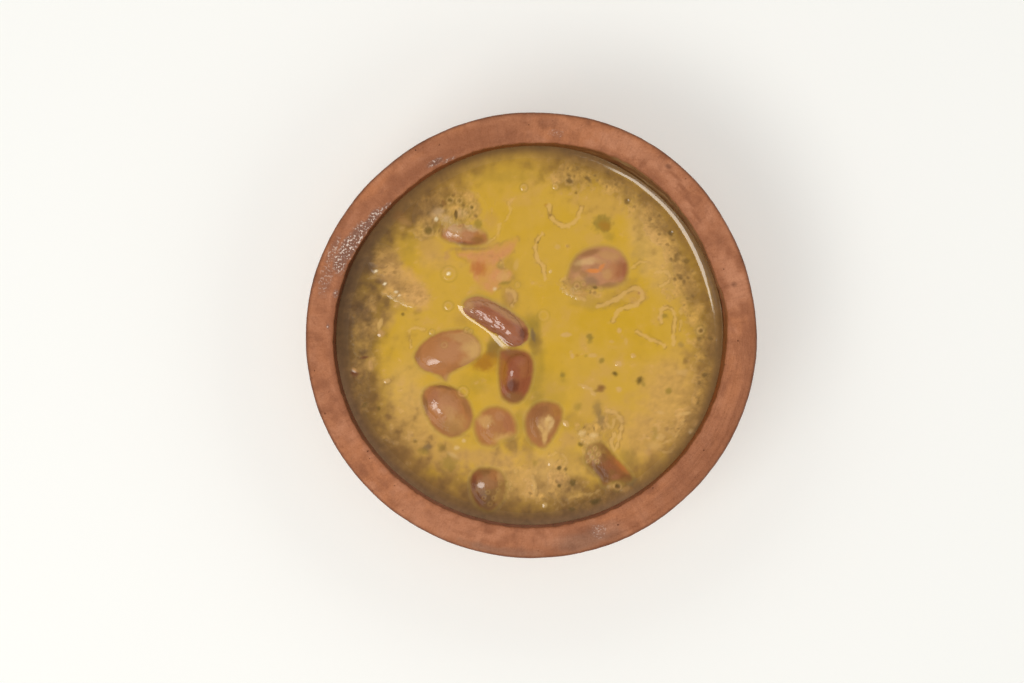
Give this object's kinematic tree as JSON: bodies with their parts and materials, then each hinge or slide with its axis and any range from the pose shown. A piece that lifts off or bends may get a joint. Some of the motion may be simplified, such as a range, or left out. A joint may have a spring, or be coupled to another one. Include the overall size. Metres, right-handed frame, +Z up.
{
  "type": "bowl of ful medames",
  "caption": "Small round clay bowl with a thick flat rim, filled with stewed beans in an oily yellow broth with froth and loose bean skins.",
  "frame": {"origin": "centre of the bowl's flat base, on the surface that it stands on", "axes": "+Z up, through the bowl's mouth; +X and +Y as the picture's right and top, seen from above"},
  "size_m": [0.1408, 0.1392, 0.058],
  "materials": {
    "clay": "unglazed reddish clay, fired, a little damp and oily at the rim",
    "broth": "thick bean broth under a glossy layer of yellow oil, with tan froth, stands in for food",
    "red_bean": "wet red-brown bean skin, stands in for food",
    "brown_bean": "wet pinkish brown bean skin, stands in for food"
  },
  "bodies": {
    "root": {"bowl": "clay", "ful_broth": "broth", "bean_long": "red_bean", "bean_dark": "red_bean", "bean_half": "red_bean", "bean_pale": "brown_bean", "bean_ribbed": "brown_bean", "bean_sunk": "brown_bean", "bean_torn": "brown_bean", "bean_frothy": "brown_bean", "bean_foamed": "brown_bean", "bean_split": "brown_bean"}
  },
  "joints": []
}
